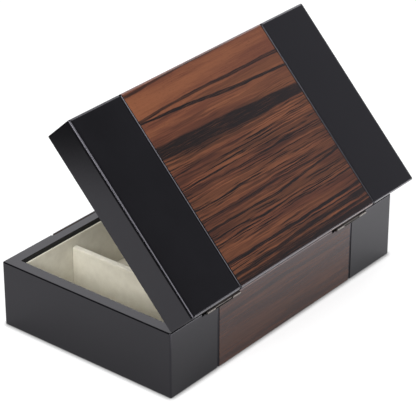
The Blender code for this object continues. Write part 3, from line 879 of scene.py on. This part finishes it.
class LidShell(bpy.types.Operator):
    """Lid: its walls and board lacquered as one, with the band's seat, its grooves and the mortises"""

    bl_idname = "organiser.lid_shell"
    bl_label = "Lid shell"

    def execute(self, context):
        s = sizes()
        low = (-s.half_width, -s.half_depth, s.lid_rim)
        shell = start_block("lid_shell", low, (s.half_width, s.half_depth, s.lid_top))
        rise = {"TRANSFORM_OT_translate": {"value": (0, 0, s.lid_ceiling - s.lid_rim)}}
        shape(
            shell,
            "FACE",
            facing(-Z, s.lid_rim),
            (bpy.ops.mesh.inset, {"thickness": s.wall}),
            (bpy.ops.mesh.extrude_region_move, rise),
        )
        top_edge = level_edge(s.lid_top)

        def end_edge(middle, direction):
            return top_edge(middle, direction) and near(abs(middle.x), s.half_width)

        rounds = (
            (upright_corner, s.corner_round),
            (top_edge, s.crown_round),
            (end_edge, s.end_round),
            (level_edge(s.lid_rim), s.lid_rim_round),
            (level_edge(s.lid_rim, s.wall), s.inner_round),
        )
        round_over(shell, rounds, 8)
        sink_band(shell, top=True)
        cut_out(shell, mortise_cutters(s.lid_rim, 1))
        boards = ["lid_top_board"] + [f"lid_{side}_wall" for side in ("right", "left", "front", "rear")]
        finish_piece(shell, satin_black_lacquer, "lid", boards)
        stain_inside(shell, s.open_angle)
        return {"FINISHED"}


class LidVeneer(bpy.types.Operator):
    """Lid: the band's sheet, which wraps from the front edge over the top and down the rear edge"""

    bl_idname = "organiser.lid_veneer"
    bl_label = "Lid veneer"

    def execute(self, context):
        s = sizes()
        half = s.band_half - s.fit / 2
        band = start_block("lid_band", (-half, -s.half_depth, s.lid_rim), (half, s.half_depth, s.lid_top))

        def long_top_edge(middle, direction):
            return abs(direction.x) > ALONG and near(middle.z, s.lid_top)

        round_over(band, ((long_top_edge, s.crown_round),), 8)

        def end_or_underside(middle, direction):
            return abs(direction.x) > ALONG or near(middle.z, s.lid_rim)

        shape(band, "FACE", end_or_underside, (bpy.ops.mesh.delete, {"type": "FACE"}))
        apply_modifier(band, "SOLIDIFY", thickness=s.veneer, offset=-1, use_even_offset=True)

        def on_skin(middle):
            centre_y = s.half_depth - s.crown_round
            centre_z = s.lid_top - s.crown_round
            out_y = max(abs(middle.y) - centre_y, 0)
            out_z = max(middle.z - centre_z, 0)
            return math.hypot(out_y, out_z) > s.crown_round - s.veneer / 3

        def groove_edge(middle, direction):
            return near(abs(middle.x), half) and on_skin(middle) and abs(direction.x) < SQUARE

        round_over(band, ((groove_edge, s.groove_depth),), HOLLOW_SEGMENTS, HOLLOW)

        def lower_edge(middle, direction):
            outside = near(middle.z, s.lid_rim) and near(abs(middle.y), s.half_depth)
            return outside and abs(direction.x) > ALONG

        round_over(band, ((lower_edge, s.lid_rim_round),), 4)
        cut_out(band, mortise_cutters(s.lid_rim, 1))
        veneers = ["lid_top_veneer", "lid_front_veneer", "lid_rear_veneer"]
        finish_piece(band, lid_veneer, "lid", veneers)
        lacquer_edges(band, Matrix.Rotation(-s.open_angle, 3, "X") @ -Z)
        return {"FINISHED"}


def let_wander(piece):
    """Divides a covered panel and lets its faces wander a little from flat."""
    divide = {"number_cuts": linings().divisions}
    shape(piece, "FACE", everything, (bpy.ops.mesh.subdivide, divide))
    clouds = bpy.data.textures.get("wander") or bpy.data.textures.new("wander", "CLOUDS")
    clouds.noise_scale = linings().wander
    apply_modifier(
        piece,
        "DISPLACE",
        texture=clouds,
        texture_coords="GLOBAL",
        strength=linings().unevenness,
        mid_level=0.5,
    )


def covered_panel(name, node, body, roll, level=None, lowered=0.0):
    """A suede-covered panel in a solid's place, with the long edges at a level rolled over."""
    low, high = solid_box(node)
    high.z -= lowered
    panel = start_block(name, low, high)
    size = high - low
    across = min(size.x, size.y)

    def long_edge(middle, direction):
        run = abs(direction.z) < SQUARE and (level is None or near(middle.z, level))
        return run and (abs(direction.x) > ALONG) == (size.x > size.y)

    round_over(panel, ((long_edge, min(roll, across / 2.1)),), 4)
    let_wander(panel)
    finish_piece(panel, brushed_suede, body, [node], 50)
    return panel


class BaseLinings(bpy.types.Operator):
    """Base: the floor's and the walls' suede-covered linings"""

    bl_idname = "organiser.base_linings"
    bl_label = "Base linings"

    def execute(self, context):
        for side in ("right", "left", "front", "rear"):
            node = f"base_{side}_lining"
            lowered = linings().lowered
            level = solid_box(node)[1].z - lowered
            covered_panel(f"base_{side}_suede", node, "base", linings().roll, level, lowered)
        covered_panel("base_floor_suede", "base_floor_lining", "base", linings().roll)
        return {"FINISHED"}


class Dividers(bpy.types.Operator):
    """Base: the suede-covered dividers"""

    bl_idname = "organiser.dividers"
    bl_label = "Dividers"

    def execute(self, context):
        for node in ("right_divider", "left_divider", "cross_divider"):
            covered_panel(f"{node}_suede", node, "base", linings().divider_roll, solid_box(node)[1].z)
        return {"FINISHED"}


class LidLinings(bpy.types.Operator):
    """Lid: the padded ceiling and the suede-covered linings of its walls"""

    bl_idname = "organiser.lid_linings"
    bl_label = "Lid linings"

    def execute(self, context):
        for side in ("right", "left", "front", "rear"):
            node = f"lid_{side}_lining"
            covered_panel(f"lid_{side}_suede", node, "lid", linings().roll, solid_box(node)[0].z)
        low, high = solid_box("lid_top_lining")
        crown = linings().crown
        low.z += crown
        pad = start_block("lid_pad", low, high)
        steps = []
        for share in PAD_STEPS:
            steps += [
                (bpy.ops.mesh.inset, {"thickness": linings().crown_margin}),
                (bpy.ops.transform.translate, {"value": (0, 0, -share * crown)}),
            ]
        shape(pad, "FACE", facing(-Z, low.z), *steps)
        let_wander(pad)
        finish_piece(pad, brushed_suede, "lid", ["lid_top_lining"], 50)
        return {"FINISHED"}


class Underside(bpy.types.Operator):
    """Base: the bottom board's paint and the felt under it"""

    bl_idname = "organiser.underside"
    bl_label = "Underside"

    def execute(self, context):
        paint("bottom_board", painted_fibreboard)
        felt = start_block("felt_sheet", FELT_LOW, FELT_HIGH)

        def rim(middle, direction):
            return near(middle.z, FELT_LOW.z)

        round_over(felt, ((rim, (FELT_HIGH.z - FELT_LOW.z) / 3),), 3)
        finish_piece(felt, pressed_black_felt, "base", ["underside_felt"], 50)
        return {"FINISHED"}


def paint(node, maker):
    """Gives a packed solid that stays its finish."""
    for place in frame["nodes"][node].material_slots:
        place.material = finish(maker)


def hinge_leaf(name, rim, side, starts_and_ends):
    """A leaf let into a rim, its outer edge rolled into knuckles round the pin.

    side is -1 for the base's leaf, whose face looks up, and 1 for the lid's. The knuckles run from
    each start to each end along X.
    """
    h = hinges()
    middle_x = h.place
    low, high = sorted((rim, rim + side * h.leaf))
    leaf = start_block(
        name, (middle_x - h.half_length, h.inner_edge, low), (middle_x + h.half_length, h.outer_edge, high)
    )
    places = [place for pair in starts_and_ends for place in pair]
    cut_across(leaf, [place for place in places if abs(place - middle_x) < h.half_length - SAME])
    tangent = HINGE_AXIS.z + side * (h.barrel - h.strip / 2)

    def rolled(middle, direction):
        within = any(start < middle.x < end for start, end in starts_and_ends)
        return within and near(middle.y, h.outer_edge) and direction.y > ALONG

    bend = {"value": (0, HINGE_AXIS.y - h.outer_edge, tangent - (low + high) / 2)}
    thin = {"value": (1, 1, h.strip / h.leaf), "center_override": (0, HINGE_AXIS.y, tangent)}
    shape(
        leaf,
        "FACE",
        rolled,
        (bpy.ops.mesh.extrude_region_move, {}),
        (bpy.ops.transform.translate, bend),
        (bpy.ops.transform.resize, thin),
    )

    def at_tangent(middle, direction):
        return near(middle.y, HINGE_AXIS.y) and direction.y > ALONG

    angle = math.radians(-ROLL_ANGLE * side)
    roll = {"steps": ROLL_STEPS, "angle": angle, "center": HINGE_AXIS, "axis": X}
    shape(leaf, "FACE", at_tangent, (bpy.ops.mesh.spin, roll))

    def leaf_corner(middle, direction):
        return abs(direction.z) > ALONG and near(middle.y, h.inner_edge)

    round_over(leaf, ((leaf_corner, h.leaf / 2),), 4)
    return leaf


def copied(piece, name, shift):
    """A copy of a piece with its own mesh, moved along X."""
    choose(piece)
    bpy.ops.object.duplicate(linked=False)
    copy = bpy.context.object
    copy.name = name
    copy.data.name = name
    bpy.ops.transform.translate(value=(shift, 0, 0))
    bpy.ops.object.transform_apply(location=True, rotation=True, scale=True)
    return copy


class Hinges(bpy.types.Operator):
    """Hinges: leaves rolled round pins, let into both rims, and their countersunk screws"""

    bl_idname = "organiser.hinges"
    bl_label = "Hinges"

    def execute(self, context):
        h = hinges()
        s = sizes()
        start = h.place - h.half_length
        end = h.place + h.half_length
        inner_start = start + h.end_knuckle
        inner_end = end - h.end_knuckle
        base_leaf = hinge_leaf("right_base_leaf", s.rim, -1, ((start, inner_start), (inner_end, end)))
        knuckle = ((inner_start + h.knuckle_gap, inner_end - h.knuckle_gap),)
        lid_leaf = hinge_leaf("right_lid_leaf", s.lid_rim, 1, knuckle)
        bpy.ops.object.select_all(action="DESELECT")
        bpy.ops.mesh.primitive_cylinder_add(
            vertices=24,
            radius=h.pin,
            depth=2 * h.half_length + h.knuckle_gap,
            location=(h.place, HINGE_AXIS.y, HINGE_AXIS.z),
            rotation=(0, math.pi / 2, 0),
        )
        pin = context.object
        pin.name = "right_pin"
        pin.data.name = "right_pin"
        bpy.ops.object.transform_apply(location=True, rotation=True, scale=True)

        def end_ring(middle, direction):
            at_end = abs(abs(middle.x - h.place) - h.half_length) < h.knuckle_gap
            return at_end and abs(direction.x) < SQUARE

        round_over(pin, ((end_ring, h.pin / 3),), 3)
        for piece, body, node in (
            (base_leaf, "base", "hinge_base_leaf"),
            (lid_leaf, "lid", "hinge_lid_leaf"),
            (pin, "base", "hinge_pin"),
        ):
            left = copied(piece, piece.name.replace("right", "left"), -2 * h.place)
            finish_piece(piece, nickel_plated_steel, body, [f"right_{node}"], 40)
            finish_piece(left, nickel_plated_steel, body, [f"left_{node}"], 40)
        for node in frame["nodes"]:
            if "screw" in node:
                paint(node, nickel_plated_steel)
        return {"FINISHED"}


# The table: how much light it gives back, near the box and past its edge, how it glows to the eye,
# and the painted glow that only gloss sees on it, on the box's right and left
TABLE_PALE = (0.38, 0.38, 0.38)
TABLE_DARK = (0.04, 0.04, 0.04)
TABLE_GLOW = 0.75
TABLE_RIGHT_PAINTED_GLOW = 0.42
TABLE_LEFT_PAINTED_GLOW = 0.95
# In metres: between which places it goes from the one to the other, where behind the box its painted
# glow for gloss grows brighter and by how much, and ends, and how far contact and the box's own shade reach
# on it
TABLE_RIGHT = 0.14
TABLE_LEFT = -0.20
TABLE_REAR = (0.155, 0.20)
TABLE_REAR_PAINTED_GLOW = 5.5
TABLE_EDGE = (0.40, 0.545)
CONTACT_REACH = 0.0045
SHADE_REACH = 0.07

# The studio's walls on the right, on the left and on the far left, and where they turn into each other
WALL_RIGHT = (0.013, 0.013, 0.014)
WALL_LEFT = (0.17, 0.17, 0.18)
WALL_FAR_LEFT = (0.54, 0.54, 0.57)
LEFT_TO_RIGHT = (-0.3, 0.7)
LEFT_TO_FAR_LEFT = (-0.65, -0.75)

# Soft lamps: place, width and height in metres, and brightness where 1 is white; all look at LIT
LIT = Vector((0, 0, 0.08))
LAMPS = (
    ("overhead_softbox", (0.0, 0.0, 2.2), 1.8, 1.6, 1.3),
    ("overhead_left_softbox", (-1.45, -0.1, 1.75), 0.8, 0.8, 3.0),
    ("front_left_softbox", (-1.55, -1.25, 1.15), 2.0, 1.4, 1.25),
    ("camera_side_softbox", (1.82, 1.62, 1.64), 1.1, 1.1, 5.6),
    ("rear_right_softbox", (1.3, 2.2, 1.0), 1.0, 1.0, 6.8),
    ("rear_left_strip", (-2.4, 2.65, 0.5), 0.35, 1.0, 6.0),
    ("right_softbox", (1.9, 0.10, 1.22), 1.3, 0.72, 12.5),
)

# The camera's place in metres and its turns in degrees, its lens and its sensor's width in millimetres
CAMERA_PLACE = (1.19463, 0.97205, 0.90812)
CAMERA_TURNS = (61.8627, -0.0468, 128.9846)
CAMERA_LENS = 179.577
CAMERA_SENSOR = 36


def add_floor():
    """A white table under the box: lit by the lamps, and glowing to the eye and to gloss.

    The eye sees it white all round. For all else it ends softly about half a metre away, as a table
    does in a dim studio, which is what darkens the lacquer's edges.
    """
    bpy.ops.object.select_all(action="DESELECT")
    bpy.ops.mesh.primitive_plane_add(size=30)
    floor = bpy.context.object
    floor.name = "floor"
    material = bpy.data.materials.new("white_table")
    material.use_nodes = True
    tree = material.node_tree
    shader = tree.nodes["Principled BSDF"]
    shader.inputs["Roughness"].default_value = 0.9
    shader.inputs["Specular IOR Level"].default_value = 0.0
    shader.inputs["Emission Color"].default_value = (1, 1, 1, 1)
    rays = add_node(tree, "ShaderNodeLightPath").outputs
    place = add_node(tree, "ShaderNodeTexCoord").outputs["Object"]
    reach = add_node(tree, "ShaderNodeVectorMath", {0: place}, operation="LENGTH").outputs["Value"]
    to_right, to_rear, _ = add_node(tree, "ShaderNodeSeparateXYZ", {0: place}).outputs
    # Seen only by gloss, the table's glow is painted brighter towards the box's left and far brighter
    # behind it: painted pools of light for the lacquer's edges to mirror.
    painted_side_glow = ranged(tree, to_right, TABLE_RIGHT, TABLE_LEFT, TABLE_RIGHT_PAINTED_GLOW, TABLE_LEFT_PAINTED_GLOW)
    behind = ranged(tree, to_rear, *TABLE_REAR, 1.0, TABLE_REAR_PAINTED_GLOW)
    near_by = ranged(tree, reach, *TABLE_EDGE, 1.0, 0.0, "SMOOTHSTEP")

    def either(first, second):
        return calculated(tree, "MAXIMUM", first, second)

    def times(first, *others):
        for other in others:
            first = calculated(tree, "MULTIPLY", first, other)
        return first

    def shade(reach):
        return add_node(tree, "ShaderNodeAmbientOcclusion", {"Distance": reach}, samples=8).outputs["AO"]

    shown = either(rays["Is Camera Ray"], rays["Is Transmission Ray"])
    contact = shade(CONTACT_REACH)
    gloss = times(rays["Is Glossy Ray"], near_by, painted_side_glow, behind, shade(SHADE_REACH))
    glow = either(times(shown, TABLE_GLOW, contact, contact), gloss)
    tree.links.new(glow, shader.inputs["Emission Strength"])
    colour_by(tree, shader, either(shown, near_by), TABLE_DARK, TABLE_PALE)
    floor.data.materials.append(material)


def add_world():
    """A dim studio, seen white behind the table, darkest on the right and lighter on the far left."""
    world = bpy.data.worlds.new("studio")
    bpy.context.scene.world = world
    world.use_nodes = True
    tree = world.node_tree
    way = add_node(tree, "ShaderNodeTexCoord").outputs["Generated"]
    to_right = add_node(tree, "ShaderNodeSeparateXYZ", {0: way}).outputs[0]

    def wall(start, end, first, second):
        return mixed(tree, ranged(tree, to_right, start, end, 0.0, 1.0, "SMOOTHSTEP"), first, second)

    dim = wall(*LEFT_TO_RIGHT, WALL_LEFT, WALL_RIGHT)
    walls = wall(*LEFT_TO_FAR_LEFT, dim, WALL_FAR_LEFT)
    seen = add_node(tree, "ShaderNodeLightPath").outputs["Is Camera Ray"]
    tree.links.new(mixed(tree, seen, walls, (1, 1, 1)), tree.nodes["Background"].inputs["Color"])


def add_lamps():
    for name, place, width, height, brightness in LAMPS:
        place = Vector(place)
        turn = (place - LIT).to_track_quat("Z", "Y").to_euler()
        bpy.ops.object.light_add(type="AREA", location=place, rotation=turn)
        lamp = bpy.context.object
        lamp.name = name
        lamp.data.shape = "RECTANGLE"
        lamp.data.size = width
        lamp.data.size_y = height
        lamp.data.energy = math.pi * width * height * brightness
        lamp.visible_camera = False


def add_camera():
    """The camera where the photograph was taken from, above and behind the right end."""
    turn = [math.radians(angle) for angle in CAMERA_TURNS]
    bpy.ops.object.camera_add(location=CAMERA_PLACE, rotation=turn)
    camera = bpy.context.object
    camera.name = "camera"
    camera.data.lens = CAMERA_LENS
    camera.data.sensor_width = CAMERA_SENSOR
    bpy.context.scene.camera = camera


class Stage(bpy.types.Operator):
    """Stage: white floor, dim studio, soft lamps and the camera"""

    bl_idname = "organiser.stage"
    bl_label = "Stage"

    def execute(self, context):
        context.scene.view_settings.view_transform = "Standard"
        add_floor()
        add_world()
        add_lamps()
        add_camera()
        return {"FINISHED"}


STEPS = (
    Stage,
    BaseShell,
    BaseVeneers,
    Underside,
    BaseLinings,
    Dividers,
    LidShell,
    LidVeneer,
    LidLinings,
    Hinges,
)
GROUPS = (
    ("organiser_shell", ShellSizes),
    ("organiser_lining", LiningSizes),
    ("organiser_hinge", HingeSizes),
    ("organiser_colours", Colours),
)


class OrganiserPanel(bpy.types.Panel):
    """The box's sizes and colours, and a button for each group of pieces"""

    bl_idname = "VIEW3D_PT_organiser_box"
    bl_label = "Jewellery organiser box"
    bl_space_type = "VIEW_3D"
    bl_region_type = "UI"
    bl_category = "Organiser box"

    def draw(self, context):
        for name, group in GROUPS:
            box = self.layout.box()
            box.label(text=group.__doc__)
            for setting in group.__annotations__:
                box.prop(getattr(context.scene, name), setting)
        for step in STEPS:
            self.layout.operator(step.bl_idname)


def register():
    for item in [group for _, group in GROUPS] + list(STEPS) + [OrganiserPanel]:
        bpy.utils.register_class(item)
    for name, group in GROUPS:
        setattr(bpy.types.Scene, name, PointerProperty(type=group))


def unregister():
    for name, _ in GROUPS:
        delattr(bpy.types.Scene, name)
    for item in [OrganiserPanel] + list(STEPS) + [group for _, group in GROUPS]:
        bpy.utils.unregister_class(item)


def main():
    register()
    for step in STEPS:
        getattr(bpy.ops.organiser, step.bl_idname.split(".")[1])()


if __name__ == "__main__":
    main()
